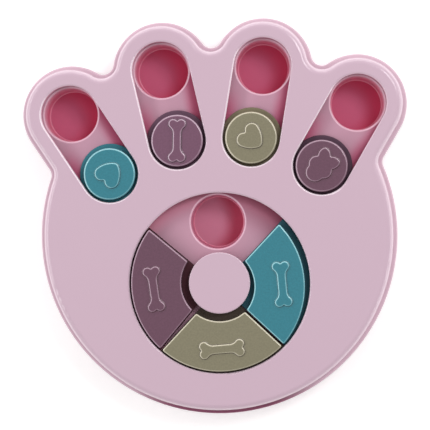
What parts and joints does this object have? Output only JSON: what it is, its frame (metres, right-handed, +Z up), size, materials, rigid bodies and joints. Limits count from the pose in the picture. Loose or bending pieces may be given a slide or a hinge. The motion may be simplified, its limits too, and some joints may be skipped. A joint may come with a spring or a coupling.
{
  "type": "dog_puzzle_feeder",
  "caption": "Paw-shaped treat puzzle: cups under sliders in the toes and under wedges that turn round a hub in the palm",
  "frame": {"origin": "middle of the footprint, on the surface the feet stand on", "axes": "+X to the right and +Y towards the toes, seen from above; +Z up out of the play face"},
  "size_m": [0.247, 0.2527, 0.032],
  "materials": {
    "pink_shell": "light pink moulded ABS, satin",
    "teal_block": "teal moulded ABS, satin",
    "plum_block": "plum moulded ABS, satin",
    "sage_block": "sage moulded ABS, satin",
    "rubber_foot": "pale grey moulded silicone rubber",
    "zinc_screw": "zinc-plated steel"
  },
  "bodies": {
    "housing": {"base_tray": "pink_shell", "top_cover": "pink_shell", "hub_cap": "pink_shell", "cover_screws": "zinc_screw", "hub_screw": "zinc_screw", "foot_outer_left": "rubber_foot", "foot_inner_left": "rubber_foot", "foot_inner_right": "rubber_foot", "foot_outer_right": "rubber_foot", "foot_wheel_right": "rubber_foot", "foot_wheel_top": "rubber_foot", "foot_wheel_left": "rubber_foot", "foot_wheel_bottom": "rubber_foot"},
    "slider_outer_left": {"slider_outer_left": "teal_block"},
    "slider_inner_left": {"slider_inner_left": "plum_block"},
    "slider_inner_right": {"slider_inner_right": "sage_block"},
    "slider_outer_right": {"slider_outer_right": "plum_block"},
    "wedge_left": {"wedge_left": "plum_block"},
    "wedge_bottom": {"wedge_bottom": "sage_block"},
    "wedge_right": {"wedge_right": "teal_block"}
  },
  "joints": [
    {"name": "slide_outer_left", "type": "slide", "parent": "housing", "child": "slider_outer_left", "axis": [-0.527, 0.8499, 0], "range_m": [-0.0014, 0.0474]},
    {"name": "slide_inner_left", "type": "slide", "parent": "housing", "child": "slider_inner_left", "axis": [-0.1942, 0.981, 0], "range_m": [-0.0014, 0.0474]},
    {"name": "slide_inner_right", "type": "slide", "parent": "housing", "child": "slider_inner_right", "axis": [0.1942, 0.981, 0], "range_m": [-0.0014, 0.0474]},
    {"name": "slide_outer_right", "type": "slide", "parent": "housing", "child": "slider_outer_right", "axis": [0.527, 0.8499, 0], "range_m": [-0.0014, 0.0474]},
    {"name": "turn_wedge_bottom", "type": "hinge", "parent": "housing", "child": "wedge_bottom", "pos_m": [0, -0.04185, 0.026], "axis": [0, 0, 1], "continuous": true},
    {"name": "turn_wedge_left", "type": "hinge", "parent": "wedge_bottom", "child": "wedge_left", "pos_m": [0, -0.04185, 0.026], "axis": [0, 0, 1], "range_deg": [-96, 0]},
    {"name": "turn_wedge_right", "type": "hinge", "parent": "wedge_bottom", "child": "wedge_right", "pos_m": [0, -0.04185, 0.026], "axis": [0, 0, 1], "range_deg": [-0.4, 96]}
  ]
}
